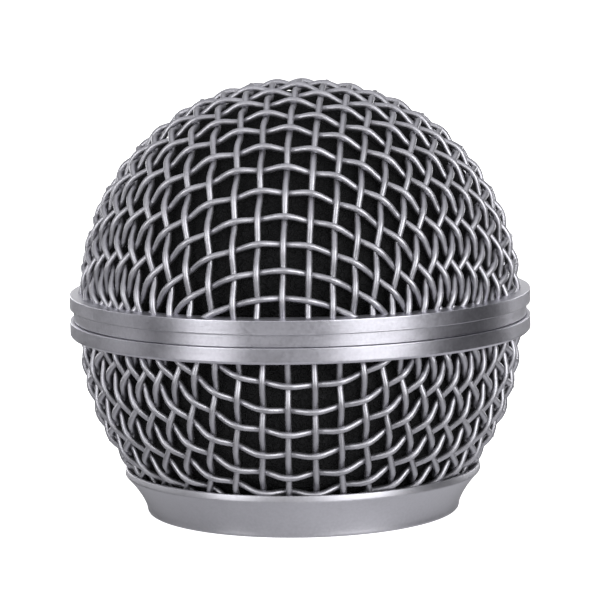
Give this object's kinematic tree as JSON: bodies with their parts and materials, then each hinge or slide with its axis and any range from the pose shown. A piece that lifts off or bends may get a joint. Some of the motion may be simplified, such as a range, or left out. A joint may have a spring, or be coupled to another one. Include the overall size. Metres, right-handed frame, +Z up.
{
  "type": "microphone grille head",
  "caption": "Screw-on ball grille of a handheld dynamic microphone: woven wire dome and bowl, grooved metal band, flared threaded collar and a foam lining",
  "frame": {"origin": "centre of the collar's foot, the face that the grille stands on and that meets the microphone's body", "axes": "+Z runs up the ball's axis from the collar to the top of the dome; X and Y are level, and the part is round about Z"},
  "size_m": [0.051, 0.051, 0.0479],
  "materials": {
    "wire_cloth": "drawn steel wire, plated, satin",
    "band_metal": "satin plating, finely brushed round the ring",
    "collar_metal": "satin plating, finely turned",
    "insert_metal": "machined brass, nickel-plated",
    "foam": "open-cell foam, matt black"
  },
  "bodies": {
    "root": {"dome_mesh": "wire_cloth", "bowl_mesh": "wire_cloth", "band_upper_ring": "band_metal", "band_lower_ring": "band_metal", "clamp_sleeve": "band_metal", "collar": "collar_metal", "thread_insert": "insert_metal", "foam_dome": "foam", "foam_skirt": "foam"}
  },
  "joints": []
}
